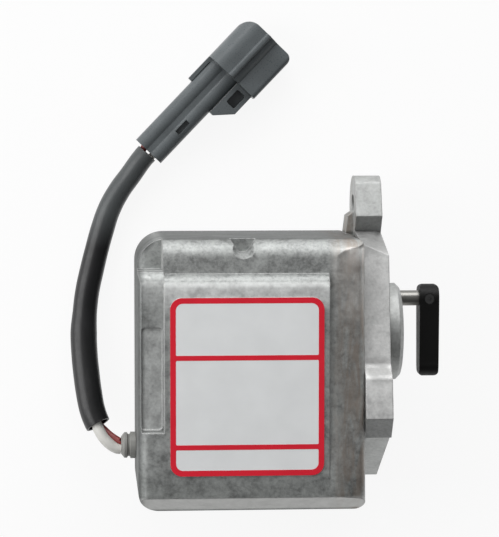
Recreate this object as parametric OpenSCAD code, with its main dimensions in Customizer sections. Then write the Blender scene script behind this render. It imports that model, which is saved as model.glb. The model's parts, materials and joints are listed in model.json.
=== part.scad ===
// Rotary electric governor actuator for a fuel injection pump.
// The origin is the pilot's centre on the mounting face: +X runs out along the shaft,
// +Y is the top of the label panel and +Z points out of the label panel.

/* [Casting] */
// Width of the casting from its left wall to the back of the flange
housing_w = 68.6; // [67:0.2:74]
// Top wall above the pilot axis
housing_top = 30; // [29:0.2:33]
// Bottom wall below the pilot axis
housing_bottom = 52.4; // [51.5:0.2:57]
// Label panel in front of the pilot axis
panel_front = 26; // [25.5:0.1:29]
// Thickness of the side walls
wall_t = 3.8; // [3.2:0.1:4.2]
// Thickness of the wall behind the label panel
front_wall_t = 6.5; // [5.5:0.1:7]
// Height of the label panel above the tier around it
tier_drop = 3.4; // [2:0.1:4]
// Round along the top front edge
top_round = 6; // [5:0.5:7]
// Width of the sloping foot along the bottom front edge
foot_w = 4.8; // [3.6:0.1:5.4]
// Drop of the sloping foot
foot_drop = 7; // [5.5:0.1:8]
// Round of the upper left corner
upper_corner_r = 9; // [7:0.5:10]
// Round of the lower left corner
lower_corner_r = 6.4; // [5.4:0.2:9]
// Round of the corners beside the flange
flange_corner_r = 3; // [2:0.5:4]
// Round along the left front edge
left_edge_r = 3; // [2:0.2:4]
// Round along the right front edge
right_edge_r = 2.6; // [1.5:0.1:3]
// Fall of the right tier towards the flange
right_fall = 1.4; // [0.8:0.1:2]
// Width of the strip left of the label panel
strip_w = 7.8; // [7:0.1:9]
// Width of the lower tier right of the label panel
right_tier_w = 11.1; // [9:0.1:13]
// Top edge of the label panel below the top wall
panel_top_gap = 10.2; // [9.5:0.1:12]
// Round along the top edge of the label panel
panel_round = 4; // [2:0.1:5]
// Step from the label panel down to the left strip
strip_drop = 0.8; // [0.4:0.1:1.4]
// Height of the sunk plaque in the left strip
plaque_h = 30.6; // [26:0.2:34]
// Middle of the plaque below the pilot axis
plaque_y = 11.5; // [9:0.1:13]
// Depth of the plaque
plaque_depth = 0.6; // [0.3:0.1:1]
// Floor of the corner shelf behind the label panel
shelf_depth = 10.5; // [9.5:0.1:11.5]
// Round along the shelf's left edge
shelf_edge_r = 2.4; // [1.5:0.1:3]
// Place of the scallop in the top edge, from the left wall
scallop_x = 31.8; // [28:0.2:36]
// Radius of the scallop
scallop_r = 2.4; // [2:0.1:2.8]
// Reach of the scallop below the top wall
scallop_reach = 4.1; // [3.8:0.1:4.6]
// Flare of the scallop's sides in degrees
scallop_flare = 33; // [20:1:40]
// Width of the scallop's lip
scallop_lip = 2.8; // [2:0.1:3]

/* [Flange and pilot] */
// Thickness of the flange
flange_t = 8.2; // [7.4:0.1:9]
// Diameter of the pilot
pilot_d = 30; // [29:0.1:31]
// Length of the pilot
pilot_l = 4.6; // [4:0.1:5.6]
// Chamfer at the pilot's end
pilot_chamfer = 1.2; // [0.6:0.1:1.6]
// Height of the upper lug's hole above the pilot axis
upper_lug_y = 38.7; // [38:0.1:40]
// Depth of the upper lug's hole behind the pilot axis
upper_lug_z = 12.5; // [11:0.1:14]
// Depth of the lower lug's hole below the pilot axis
lower_lug_y = 21.1; // [20.4:0.1:22]
// Height of the lower lug's hole in front of the pilot axis
lower_lug_z = 16; // [15:0.1:17]
// Radius of the lugs
lug_r = 9.3; // [8.8:0.1:10]
// Distance from a lug's hole to its flat front
lug_flat = 8; // [7:0.1:8.4]
// Lean of the lugs' flat front in degrees
lug_lean = 20; // [14:1:22]
// Reach of the flat front below the hole
lug_reach = 6.2; // [5:0.1:7]
// Diameter of the bolt holes
bolt_hole_d = 6.8; // [6.4:0.1:7.2]
// Radius of the flange around the pilot
flange_core_r = 17.5; // [16.5:0.5:19]

/* [Rear cover] */
// Thickness of the rear cover
cover_t = 3.5; // [3:0.1:4.5]
// Thickness of the cover gasket
gasket_t = 0.5; // [0.4:0.1:0.8]
// Depth from the shaft axis to the cover joint
joint_depth = 24; // [23.6:0.1:25]
// Shank diameter of the cover screws
cover_screw_d = 3.9; // [3.5:0.1:4.2]
// Head diameter of the countersunk cover screws
cover_head_d = 7.4; // [7:0.1:7.6]
// Length of the cover screws
cover_screw_l = 12; // [11:0.5:13]

/* [Shaft and arm] */
// Diameter of the output shaft
shaft_d = 4.76; // [4.6:0.01:4.9]
// Height of the shaft above the pilot axis
shaft_y = 10.3; // [10:0.05:10.4]
// Gap between the pilot's end and the arm
arm_gap = 6.3; // [5:0.1:7.5]
// Thickness of the arm along the shaft
arm_t = 6; // [5:0.1:7]
// Radius of the arm's hub
arm_hub_r = 4.4; // [4.2:0.05:4.5]
// Distance from the shaft to the centre of the arm's tip
arm_l = 20.7; // [18:0.1:23]
// Radius of the arm's tip
arm_tip_r = 3.6; // [3:0.1:4]
// Round on the arm's ends
arm_edge = 1.5; // [0.8:0.1:2]
// Travel of the arm in degrees
travel = 25; // [20:1:30]
// Diameter of the arm's set screw
set_screw_d = 3; // [2.5:0.1:3.5]

/* [Bearings and seal] */
// Outer diameter of the ball bearings
bearing_od = 12.7; // [12.4:0.1:13]
// Width of the ball bearings
bearing_w = 5; // [4.6:0.1:5.4]
// Radial thickness of each bearing ring
ring_t = 1.2; // [1:0.05:1.3]
// Balls in each bearing
ball_count = 7; // [6:1:8]
// Diameter of the balls
ball_d = 2; // [1.8:0.1:2.2]
// Outer diameter of the shaft seal
seal_od = 9.5; // [9:0.1:10]
// Width of the shaft seal
seal_w = 3; // [2.5:0.1:3.2]
// Wall of the bearing bosses
boss_wall = 2.7; // [2:0.1:3]

/* [Motor] */
// Diameter of the rotor
rotor_d = 24; // [23:0.1:25]
// Width across the rotor's flats
rotor_w = 13; // [11:0.5:15]
// Length of the core stack and the rotor
stack_l = 30; // [28:0.5:31]
// Air gap around the rotor
air_gap = 0.5; // [0.4:0.05:0.7]
// Thickness of the core's pole arms
pole_t = 7.5; // [6.5:0.1:7.6]
// Outer half width of the core
core_half = 18.5; // [18:0.1:18.7]
// Thickness of the core's yoke
yoke_t = 10; // [9:0.5:11]
// Gap between the coil and the bottom wall
coil_gap = 1.35; // [1:0.05:1.8]
// Wall of the coil bobbin
bobbin_wall = 1.2; // [1:0.1:1.5]
// Build of the winding around the bobbin
winding_t = 4.6; // [4:0.1:4.8]
// Thickness of the core strap
strap_t = 2; // [1.6:0.1:2.2]
// Middle of the core strap below the pilot axis
strap_y = 14; // [13:0.2:15]
// Width of the core strap
strap_w = 9; // [8:0.2:10]
// Diameter of the core screws
core_screw_d = 3; // [2.6:0.1:3.4]

/* [Return spring] */
// Wire diameter of the return spring
spring_wire_d = 1.2; // [1:0.1:1.3]
// Mean radius of the return spring
spring_r = 5.7; // [5.5:0.1:6.2]
// Turns of the return spring
spring_turns = 4.75; // [3.75:1:5.75]
// Radius of the spring collar's hub
collar_r = 4.4; // [4:0.1:4.6]
// Reach of the collar's stop finger
finger_reach = 13.2; // [13:0.1:14]
// Width of the collar's stop finger
finger_w = 4; // [3.4:0.1:4.4]
// Diameter of the stop pins
stop_pin_d = 3; // [2.6:0.1:3.4]
// Radius at which the stop pins stand
stop_pin_r = 11.5; // [11:0.1:12]

/* [Name plate] */
// Width of the name plate
plate_w = 46.2; // [42:0.2:48]
// Height of the name plate
plate_h = 53.6; // [48:0.2:58]
// Thickness of the name plate
plate_t = 0.3; // [0.2:0.05:0.5]
// Corner radius of the name plate
plate_r = 3.6; // [2:0.1:5]
// Middle of the name plate below the pilot axis
plate_y = 14; // [12:0.2:16]

/* [Lead] */
// Diameter of the insulated wires
wire_d = 2.2; // [2:0.05:2.3]
// Outer diameter of the sleeve
sleeve_d = 7.6; // [7.2:0.1:7.8]
// Wall of the sleeve
sleeve_wall = 0.6; // [0.5:0.05:0.65]
// Outer diameter of the grommet
grommet_d = 8.4; // [8:0.1:9]
// Length of the grommet outside the wall
grommet_l = 4.6; // [4:0.1:5]
// Diameter of the grommet's neck in the wall
grommet_neck_d = 6.6; // [6.4:0.1:7]

/* [Connector] */
// Length of the connector
conn_l = 52.5; // [50:0.5:56]
// Distance between the wire cavities
cavity_pitch = 5; // [4.8:0.1:5.2]
// Diameter of the wire cavities
cavity_d = 4; // [3.8:0.1:4.2]
// Length of the shroud
shroud_l = 17.5; // [16:0.5:19]
// Height of the shroud
shroud_h = 14; // [13:0.2:15]
// Width of the shroud's socket body
shroud_w = 13.6; // [13:0.2:15]
// Width of the latch box beside the shroud
latch_w = 5.8; // [5:0.2:6.5]
// Wall of the shroud
shroud_wall = 1.3; // [1.1:0.1:1.5]
// Depth of the shroud's socket
socket_depth = 15; // [13:0.5:16]

/* [Hidden] */
$fn = 64;
eps = 0.05;

// Clearances
press_gap = 0.01;
run_gap = 0.03;
slip_gap = 0.05;
free_gap = 0.3;

// Planes of the casting
left_x = -(flange_t + housing_w);
right_x = -flange_t;
joint_z = -joint_depth;
rest_z = joint_z - gasket_t - cover_t;
tier_front = panel_front - tier_drop;
panel_left = left_x + strip_w;
panel_right = right_x - right_tier_w;
panel_top = housing_top - panel_top_gap;
strip_front = panel_front - strip_drop;
foot_rise = 8;
tier_top = housing_top - top_round;
tier_lean = atan(tier_drop / (housing_bottom + tier_top - foot_rise));
pad_root = 6;
cavity_left = left_x + wall_t;
cavity_right = right_x - wall_t;
cavity_top = housing_top - wall_t;
cavity_bottom = -housing_bottom + wall_t;
cavity_front = panel_front - front_wall_t;

// Places along the shaft
rear_boss_l = bearing_w + 1.2;
rear_face_x = cavity_left + rear_boss_l;
front_face_x = cavity_right - 1;
seal_x = front_face_x + bearing_w;
collar_x = rear_face_x + 0.4;
finger_t = 3;
spring_x = collar_x + finger_t + spring_wire_d / 2 + slip_gap;
arm_x = pilot_l + arm_gap;
shaft_r = shaft_d / 2;
boss_r = bearing_od / 2 + boss_wall;
ring_l = 0.8;

// Core, bobbin and strap: the strap's right end sets the stack's place, the coil sits off the bottom wall
strap_gap = 1.4;
post_gap = 0.4;
flange_over = 0.4;
strap_post_r = 3.6;
strap_right_x = cavity_right - strap_gap - strap_post_r;
stack_x = strap_right_x - strap_post_r - post_gap - stack_l;
strap_left_x = stack_x - strap_post_r - post_gap;
collar_l = stack_x - 1 - collar_x;
core_inner = core_half - pole_t;
core_top = shaft_y + 9.4;
bobbin_half = core_inner - free_gap;
bobbin_flange = bobbin_wall + winding_t + flange_over;
bobbin_x = stack_x - bobbin_flange - slip_gap;
core_bottom = cavity_bottom + coil_gap + bobbin_flange + slip_gap;
core_screw_l = 12;
core_head_h = 2;

// Cover screws stand in the four inner corners
screw_inset = wall_t + 2.6;
cover_screw_points = [
  [left_x + screw_inset, housing_top - screw_inset],
  [left_x + screw_inset, -housing_bottom + screw_inset],
  [right_x - screw_inset, -housing_bottom + screw_inset],
  [right_x - screw_inset, housing_top - screw_inset]
];
cover_head_h = (cover_head_d - cover_screw_d) / 2;
cover_post_h = 12;

// The stop finger rests pointing down; the pins leave the travel and a small gap
finger_angle = 180;
stop_swing = asin((finger_w / 2 + stop_pin_d / 2 + free_gap) / stop_pin_r);
stop_angles = [finger_angle - stop_swing, finger_angle + travel + stop_swing];
stop_pin_l = collar_x + finger_t - cavity_left + wall_t - 1.5;
anchor_pin_d = 2.4;
anchor_pin_r = 13;
spring_far_angle = finger_angle + spring_turns * 360;
anchor_angle = spring_far_angle + asin((anchor_pin_d / 2 + spring_wire_d / 2 + slip_gap) / anchor_pin_r);
spring_pitch = spring_wire_d + 0.25;

// Lead: the wires leave the bobbin, pass the grommet and run up the table to the connector
grommet_rise = 15.6;
grommet_y = -housing_bottom + grommet_rise;
grommet_z = -13;
wire_pair = 2.5;
lead_route = [
  [bobbin_x - slip_gap, grommet_y, -10.2], [-63, grommet_y, -11.4], [-69, grommet_y, -12.6],
  [-73.6, grommet_y, -13], [-78, grommet_y, -13], [-82, grommet_y, -13], [-84.8, -35.1, -13.5],
  [-87.2, -32.6, -14.6], [-89, -29.8, -15.7], [-90.4, -26, -16.9], [-91.4, -21, -18.5], [-92.2, -15, -20.4],
  [-92.8, -8.5, -22], [-93, -2, -23.2], [-92.6, 4.5, -24], [-91.8, 11, -24.1],
  [-90.4, 17.5, -24.1], [-88.8, 24, -24.1], [-87, 30.5, -24], [-84.8, 37, -23.6],
  [-81.6, 43, -23], [-78, 48, -22.2], [-73.9, 53.7, -21.1], [-72.3, 55.5, -21], [-69.9, 58, -21],
  [-66.2, 61.9, -21]
];
sleeve_from = 8;
sleeve_to = 22;
wire_sides = 8;
sleeve_sides = 12;
sleeve_taper = 0.83;

// Connector pose and sections along its own axis
conn_origin = [-72.3, 55.5, rest_z + shroud_h / 2];
conn_angle = 46.3;
shroud_u = conn_l - shroud_l;
cavity_l = 10;
barrel_r = cavity_d / 2 + 0.9;
blade_w = 2;
blade_t = 0.8;
blade_back = 6;
socket_u = conn_l - socket_depth;
wire_end_u = 8.9;
seal_u = 3.4;
shroud_r = 5.5;
hood_u = 25.5;
hood_top = 1;
mouth_r = 4.5;
latch_r = 2.5;
slot_u = 10.4;
slot_l = 5;
slot_w = 1.6;
lock_u = 22.3;
lock_ramp = 5;
lock_h = 5.2;
lock_wall = 1.4;

// 2D helpers: a corner is [x, y, sx, sy], with the signs pointing into the shape
module corner_cut(c, r) {
  if (r > 0)
    difference() {
      translate([c[0] + (c[2] > 0 ? -1 : -r), c[1] + (c[3] > 0 ? -1 : -r)]) square(r + 1);
      translate([c[0] + c[2] * r, c[1] + c[3] * r]) circle(r);
    }
}

// Rectangle with its own radius at each corner: lower left, lower right, upper right, upper left
module plate_2d(x0, y0, x1, y1, r) {
  corners = [[x0, y0, 1, 1], [x1, y0, -1, 1], [x1, y1, -1, -1], [x0, y1, 1, -1]];
  difference() {
    translate([x0, y0]) square([x1 - x0, y1 - y0]);
    for (i = [0:3]) corner_cut(corners[i], r[i]);
  }
}

// Two circles joined by their outer tangents
function polar(c, r, a) = [c[0] + r * cos(a), c[1] + r * sin(a)];
module link_2d(a, ra, b, rb) {
  heading = atan2(b[1] - a[1], b[0] - a[0]);
  lean = acos((ra - rb) / norm(b - a));
  translate(a) circle(ra);
  translate(b) circle(rb);
  polygon([
    polar(a, ra, heading + lean), polar(b, rb, heading + lean),
    polar(b, rb, heading - lean), polar(a, ra, heading - lean)
  ]);
}

// Extrudes a (Y, Z) section along X, and an (X, Z) section along Y
module along_x(x0, x1) { translate([x0, 0, 0]) rotate([90, 0, 90]) linear_extrude(x1 - x0) children(); }
module along_y(y0, y1) { translate([0, y1, 0]) rotate([90, 0, 0]) linear_extrude(y1 - y0) children(); }
module rod_x(x0, x1, r, y = 0, z = 0) {
  translate([x0, y, z]) rotate([0, 90, 0]) cylinder(h = x1 - x0, r = r);
}
module cone_x(x0, x1, r0, r1, y = 0, z = 0) {
  translate([x0, y, z]) rotate([0, 90, 0]) cylinder(h = x1 - x0, r1 = r0, r2 = r1);
}
// A ring round the shaft axis
module shaft_ring(x0, x1, r_out, r_in) {
  difference() {
    rod_x(x0, x1, r_out, shaft_y);
    rod_x(x0 - 1, x1 + 1, r_in, shaft_y);
  }
}
// A point at a radius and angle round the shaft axis, with the angle taken from +Y towards +Z
function round_shaft(r, a) = [shaft_y + r * cos(a), r * sin(a)];

// Outline of the casting and cover seen from the front
module front_outline(inset = 0) {
  plate_2d(
    left_x + inset, -housing_bottom + inset, right_x - inset, housing_top - inset,
    [lower_corner_r - inset, max(flange_corner_r - inset, 0.5), max(flange_corner_r - inset, 0.5),
     upper_corner_r - inset]
  );
}

// Section through the lower tier: a long slope down from the foot and the large top round
module tier_section() {
  difference() {
    polygon([
      [-housing_bottom, joint_z], [housing_top, joint_z], [housing_top, tier_front],
      [tier_top, tier_front], [-housing_bottom + foot_rise, panel_front],
      [-housing_bottom, panel_front]
    ]);
    corner_cut([housing_top, tier_front, -1, -1], top_round);
  }
}

// Section through a raised pad with a round top edge
module pad_section(top, front, round_r) {
  plate_2d(-housing_bottom, tier_front - pad_root, top, front, [0, 0, round_r, 0]);
}

// Cut, in the (X, Z) plane, that makes the right tier fall towards the flange and rounds its edge
module right_fall_cut() {
  start = [panel_right + 0.5, tier_front + 0.3];
  fall_angle = atan((start[1] - tier_front + right_fall) / (right_x - start[0]));
  reach = right_edge_r / tan((90 + fall_angle) / 2);
  corner = [right_x, tier_front - right_fall];
  centre = corner - [right_edge_r, reach];
  outward = [sin(fall_angle), cos(fall_angle)];
  polygon([
    start, corner, corner + [1, 0], [right_x + 1, panel_front + 1], [start[0], panel_front + 1]
  ]);
  difference() {
    polygon([corner + [1, 1], centre + [right_edge_r + 1, 0], centre, centre + (right_edge_r + 1) * outward]);
    translate(centre) circle(right_edge_r);
  }
}

// Cut, in the (Y, Z) plane, that leaves the sloping foot
module foot_cut() {
  high = [foot_w - housing_bottom, panel_front];
  low = [-housing_bottom, panel_front - foot_drop];
  run = unit(high - low);
  polygon([high + run, low - run, low - [2, 2], [low[0] - 2, panel_front + 2]]);
}

module casting_form() {
  strip_floor_y = -plaque_y - plaque_h / 2 - 1;
  intersection() {
    translate([0, 0, joint_z]) linear_extrude(panel_front - joint_z) front_outline();
    difference() {
      along_y(-housing_bottom - 1, housing_top + 1)
        plate_2d(left_x, joint_z, right_x, panel_front, [0, 0, 0, left_edge_r]);
      translate([0, tier_top, tier_front]) rotate([-tier_lean, 0, 0]) translate([0, 0, -tier_front])
        along_y(-housing_bottom - housing_top, housing_top) right_fall_cut();
      along_x(left_x - 1, right_x + 1) foot_cut();
    }
    union() {
      along_x(left_x, right_x) tier_section();
      along_x(panel_left, panel_right) pad_section(panel_top, panel_front, panel_round);
      along_x(left_x, panel_left + eps) pad_section(panel_top + 1.2, strip_front, panel_round + 1);
      along_x(left_x, panel_left + eps) pad_section(strip_floor_y, panel_front, 0);
    }
  }
}

// Hollow of the casting, open at the cover joint
module cavity_form() {
  inner_round = max(top_round - wall_t, 1);
  intersection() {
    translate([0, 0, joint_z - 1]) linear_extrude(cavity_front - joint_z + 1) front_outline(wall_t);
    along_x(cavity_left, cavity_right)
      plate_2d(cavity_bottom, joint_z - 2, cavity_top, cavity_front, [0, 0, inner_round, 1]);
  }
}

// Open shelf cut into the upper left corner, with a round left edge
shelf_floor = panel_front - shelf_depth;
shelf_y = panel_top + 1;
shelf_right = panel_left - 0.3;
shelf_wall = wall_t - 0.8;
module corner_shelf() {
  along_y(shelf_y, housing_top + 1) {
    translate([left_x - 1, shelf_floor]) square([shelf_right - left_x + 1, shelf_depth + 1]);
    corner_cut([left_x, shelf_floor, 1, -1], shelf_edge_r);
  }
}

// Notch in the top round: a round bottom, flared sides and a floor that ends at the top wall
scallop_y = housing_top - scallop_reach + scallop_r;
scallop_floor = tier_front - top_round + 0.2;
scallop_wall = 3;
module scallop() {
  rise = housing_top + 1 - scallop_y;
  mouth = (scallop_r + rise * sin(scallop_flare)) / cos(scallop_flare);
  lip_slope = 0.7;
  lip_h = (scallop_lip + lip_slope) / lip_slope;
  translate([left_x + scallop_x, scallop_y, scallop_floor]) {
    linear_extrude(panel_front) {
      circle(scallop_r);
      polygon([
        polar([0, 0], scallop_r, 180 + scallop_flare), polar([0, 0], scallop_r, -scallop_flare),
        [mouth, rise], [-mouth, rise]
      ]);
    }
    translate([0, 0, tier_front + 1.6 - lip_h - scallop_floor])
      cylinder(h = lip_h, r1 = scallop_r - lip_slope, r2 = scallop_r + scallop_lip);
  }
}

// Lug: a disc with a leaning flat front that runs out to an edge, and a sloping underside
lug_under = 38;
lug_fall = 8;
module lug_2d(c) {
  front = [sin(lug_lean), cos(lug_lean)];
  edge = lug_flat * front + lug_reach * [-front[1], front[0]];
  foot = edge - lug_fall * [cos(lug_under), sin(lug_under)];
  translate(c) {
    difference() {
      circle(lug_r);
      rotate(-lug_lean) translate([-lug_r, lug_flat]) square([2 * lug_r, lug_r]);
    }
    polygon([[0, 0], lug_flat * front, edge, foot, [-lug_r + 0.5, 0]]);
  }
}

module flange_2d() {
  upper = [upper_lug_y, -upper_lug_z];
  lower = [-lower_lug_y, lower_lug_z];
  heart = [0, 0];
  tail = [-42.6, -16.6];
  tail_r = 5;
  root = upper - [5.2, 5.5];
  root_r = 3;
  translate(heart) circle(flange_core_r);
  link_2d(root, root_r, heart, flange_core_r - 1);
  link_2d(heart, flange_core_r - 2.5, lower, lug_r - 3);
  link_2d(heart, flange_core_r - 1, tail, tail_r);
  link_2d(lower, lug_r - 0.2, tail, tail_r - 0.1);
  polygon([root, lower, tail]);
  lug_2d(upper);
  lug_2d(lower);
}

module flange() {
  gusset_w = 9;
  along_x(-flange_t, 0) flange_2d();
  rod_x(0, pilot_l - pilot_chamfer, pilot_d / 2);
  cone_x(pilot_l - pilot_chamfer, pilot_l, pilot_d / 2, pilot_d / 2 - pilot_chamfer);
  translate([0, 0, -upper_lug_z - gusset_w / 2]) linear_extrude(gusset_w)
    polygon([
      [right_x + 1, upper_lug_y - 1], [right_x - 2.2, upper_lug_y - 3.2],
      [right_x - 3, housing_top - 1], [right_x + 1, housing_top - 1]
    ]);
}

module cover_post(p, h) { translate([p[0], p[1], joint_z]) cylinder(h = h, r = screw_inset - wall_t + 1.4); }

module core_post(x) {
  translate([x, -strap_y, -core_half]) cylinder(h = cavity_front + core_half + 1, r = strap_post_r);
}

// Bosses inside the hollow that stay solid
module inner_bosses() {
  pad_h = cavity_front - core_half;
  rod_x(cavity_left - 1, rear_face_x, boss_r, shaft_y);
  rod_x(front_face_x, cavity_right + 1, boss_r, shaft_y);
  for (p = cover_screw_points) cover_post(p, cover_post_h);
  for (x = [strap_left_x, strap_right_x]) core_post(x);
  translate([stack_x + 5, -strap_y - strap_w / 2, core_half]) cube([stack_l - 10, strap_w, pad_h + 1]);
  intersection() {
    union() {
      translate([left_x, shelf_y - shelf_wall, shelf_floor - shelf_wall])
        cube([shelf_right - left_x + shelf_wall, housing_top - shelf_y + shelf_wall, panel_front]);
      translate([left_x + scallop_x, scallop_y, scallop_floor - scallop_wall])
        cylinder(h = panel_front, r = scallop_r + scallop_wall);
    }
    translate([left_x + 1, -housing_bottom, joint_z])
      cube([housing_w - 2, housing_bottom + housing_top - 1, cavity_front - joint_z + 1]);
  }
}

module housing() {
  color("silver")
    difference() {
      union() {
        difference() {
          union() {
            casting_form();
            flange();
          }
          difference() {
            cavity_form();
            inner_bosses();
          }
        }
      }
      corner_shelf();
      scallop();
      translate([0, 0, strip_front - plaque_depth]) linear_extrude(panel_front)
        plate_2d(left_x + 1, -plaque_y - plaque_h / 2, panel_left - 0.6, -plaque_y + plaque_h / 2,
                 [1, 1, 1, 1]);
      for (p = [[upper_lug_y, -upper_lug_z], [-lower_lug_y, lower_lug_z]])
        rod_x(-flange_t - 4, 1, bolt_hole_d / 2, p[0], p[1]);
      rod_x(rear_face_x - bearing_w, rear_face_x + 1, bearing_od / 2 + press_gap, shaft_y);
      rod_x(rear_face_x - bearing_w - 0.8, rear_face_x, bearing_od / 2 - ring_t - 0.3, shaft_y);
      rod_x(front_face_x - 1, seal_x, bearing_od / 2 + press_gap, shaft_y);
      rod_x(front_face_x, seal_x + seal_w, seal_od / 2 + press_gap, shaft_y);
      rod_x(front_face_x, pilot_l + 1, shaft_r + free_gap, shaft_y);
      for (p = cover_screw_points)
        translate([p[0], p[1], joint_z - 1])
          cylinder(h = cover_screw_l - cover_t - gasket_t + 2, r = cover_screw_d / 2 + slip_gap);
      for (x = [strap_left_x, strap_right_x])
        translate([x, -strap_y, -core_half - 1])
          cylinder(h = core_screw_l + 0.5, r = core_screw_d / 2 + slip_gap);
      for (a = stop_angles)
        rod_x(left_x + 1.5, cavity_left + 1, stop_pin_d / 2 + press_gap,
              round_shaft(stop_pin_r, a)[0], round_shaft(stop_pin_r, a)[1]);
      rod_x(left_x + 1.5, cavity_left + 1, anchor_pin_d / 2 + press_gap,
            round_shaft(anchor_pin_r, anchor_angle)[0], round_shaft(anchor_pin_r, anchor_angle)[1]);
      rod_x(left_x - 1, cavity_left + 1, grommet_neck_d / 2 + slip_gap, grommet_y, grommet_z);
    }
}

module rear_cover() {
  bevel = 0.8;
  color("silver")
    difference() {
      union() {
        translate([0, 0, rest_z + bevel]) linear_extrude(cover_t - bevel) front_outline();
        translate([0, 0, rest_z]) linear_extrude(bevel + eps) front_outline(bevel);
      }
      for (p = cover_screw_points) translate([p[0], p[1], rest_z]) {
        translate([0, 0, -1]) cylinder(h = cover_t + 2, r = cover_screw_d / 2 + 0.2);
        translate([0, 0, -eps])
          cylinder(h = cover_head_h + 0.2, r1 = cover_head_d / 2 + 0.2, r2 = cover_screw_d / 2 + 0.2);
      }
    }
}

module cover_gasket() {
  color("dimgray")
    translate([0, 0, joint_z - gasket_t]) linear_extrude(gasket_t)
      difference() {
        front_outline();
        difference() {
          front_outline(wall_t);
          for (p = cover_screw_points) translate(p) circle(screw_inset - wall_t + 1.4);
        }
        for (p = cover_screw_points) translate(p) circle(cover_screw_d / 2 + 0.2);
      }
}

module cover_screws() {
  color("gainsboro")
    for (p = cover_screw_points) translate([p[0], p[1], rest_z]) {
      difference() {
        union() {
          cylinder(h = cover_head_h, r1 = cover_head_d / 2, r2 = cover_screw_d / 2);
          cylinder(h = cover_screw_l, r = cover_screw_d / 2);
        }
        for (turn = [0, 90]) rotate([0, 0, turn]) translate([-2, -0.45, -1]) cube([4, 0.9, 2]);
      }
    }
}

module output_shaft() {
  tip = 0.4;
  color("lightgray") {
    rod_x(rear_face_x - bearing_w + 0.3, arm_x + arm_t - tip, shaft_r, shaft_y);
    cone_x(arm_x + arm_t - tip, arm_x + arm_t, shaft_r, shaft_r - tip, shaft_y);
  }
}

// Armature with two round pole lobes and flat sides
module rotor() {
  rest_turn = 55;
  hub_r = shaft_r + 2.2;
  color("slategray")
    difference() {
      union() {
        intersection() {
          rod_x(stack_x, stack_x + stack_l, rotor_d / 2, shaft_y);
          translate([stack_x - 1, shaft_y, 0]) rotate([rest_turn, 0, 0])
            translate([0, -rotor_d, -rotor_w / 2]) cube([stack_l + 2, 2 * rotor_d, rotor_w]);
        }
        rod_x(stack_x, stack_x + stack_l + 2, hub_r, shaft_y);
      }
      rod_x(stack_x - 1, stack_x + stack_l + 3, shaft_r + press_gap, shaft_y);
    }
}

// Ball bearing pieces, with their inner face at x0
groove_r = ball_d / 2 + run_gap;
pitch_r = (shaft_r + bearing_od / 2) / 2;
module ball_track(x0) {
  translate([x0 + bearing_w / 2, shaft_y, 0]) rotate([0, 90, 0])
    rotate_extrude() translate([pitch_r, 0]) circle(groove_r);
}
module bearing_outer(x0) {
  color("lightsteelblue")
    difference() {
      shaft_ring(x0, x0 + bearing_w, bearing_od / 2, bearing_od / 2 - ring_t);
      ball_track(x0);
    }
}
module bearing_inner(x0) {
  color("lightsteelblue")
    difference() {
      shaft_ring(x0, x0 + bearing_w, shaft_r + press_gap + ring_t, shaft_r + press_gap);
      ball_track(x0);
    }
}
module bearing_balls(x0) {
  color("white")
    for (i = [0:ball_count - 1])
      translate([x0 + bearing_w / 2, round_shaft(pitch_r, i * 360 / ball_count)[0],
                 round_shaft(pitch_r, i * 360 / ball_count)[1]])
        sphere(d = ball_d, $fn = 32);
}
module front_bearing_outer() { bearing_outer(front_face_x); }
module front_bearing_inner() { bearing_inner(front_face_x); }
module front_bearing_balls() { bearing_balls(front_face_x); }
module rear_bearing_outer() { bearing_outer(rear_face_x - bearing_w); }
module rear_bearing_inner() { bearing_inner(rear_face_x - bearing_w); }
module rear_bearing_balls() { bearing_balls(rear_face_x - bearing_w); }

// Lip seal: a cup with a thin lip that reaches to the shaft
module shaft_seal() {
  color("black")
    difference() {
      shaft_ring(seal_x + slip_gap, seal_x + seal_w, seal_od / 2, shaft_r + slip_gap);
      shaft_ring(seal_x + 0.9, seal_x + seal_w - 0.8, seal_od / 2 - 1, shaft_r + 0.7);
    }
}

module retaining_ring() {
  color("dimgray")
    shaft_ring(front_face_x - ring_l - slip_gap, front_face_x - slip_gap, shaft_r + 1.6, shaft_r + press_gap);
}

module spring_collar() {
  color("goldenrod")
    difference() {
      union() {
        rod_x(collar_x, collar_x + collar_l, collar_r, shaft_y);
        along_x(collar_x, collar_x + finger_t)
          plate_2d(shaft_y - finger_reach, -finger_w / 2, shaft_y, finger_w / 2, [1, 0, 0, 1]);
      }
      rod_x(collar_x - 1, collar_x + collar_l + 1, shaft_r + press_gap, shaft_y);
    }
}

// Round wire swept along a list of points, with a square cut at each end
function along(points, i) = points[min(i + 1, len(points) - 1)] - points[max(i - 1, 0)];
function unit(v) = v / norm(v);
function side_of(points, i, up) = unit(cross(along(points, i), up));
function rise_of(points, i, up) = unit(cross(side_of(points, i, up), along(points, i)));
function ring(points, i, r, sides, up) = [
  for (k = [0:sides - 1])
    points[i] + r * cos(k * 360 / sides) * side_of(points, i, up)
              + r * sin(k * 360 / sides) * rise_of(points, i, up)
];
module swept_wire(points, r, sides, up) {
  last = len(points) - 1;
  skin = [for (i = [0:last]) each ring(points, i, r, sides, up)];
  walls = [
    for (i = [0:last - 1], k = [0:sides - 1])
      let (n = (k + 1) % sides)
      each [
        [i * sides + k, (i + 1) * sides + k, i * sides + n],
        [i * sides + n, (i + 1) * sides + k, (i + 1) * sides + n]
      ]
  ];
  start_cap = [for (k = [0:sides - 1]) k];
  end_cap = [for (k = [sides - 1:-1:0]) last * sides + k];
  polyhedron(points = skin, faces = concat(walls, [start_cap, end_cap]));
}

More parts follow.
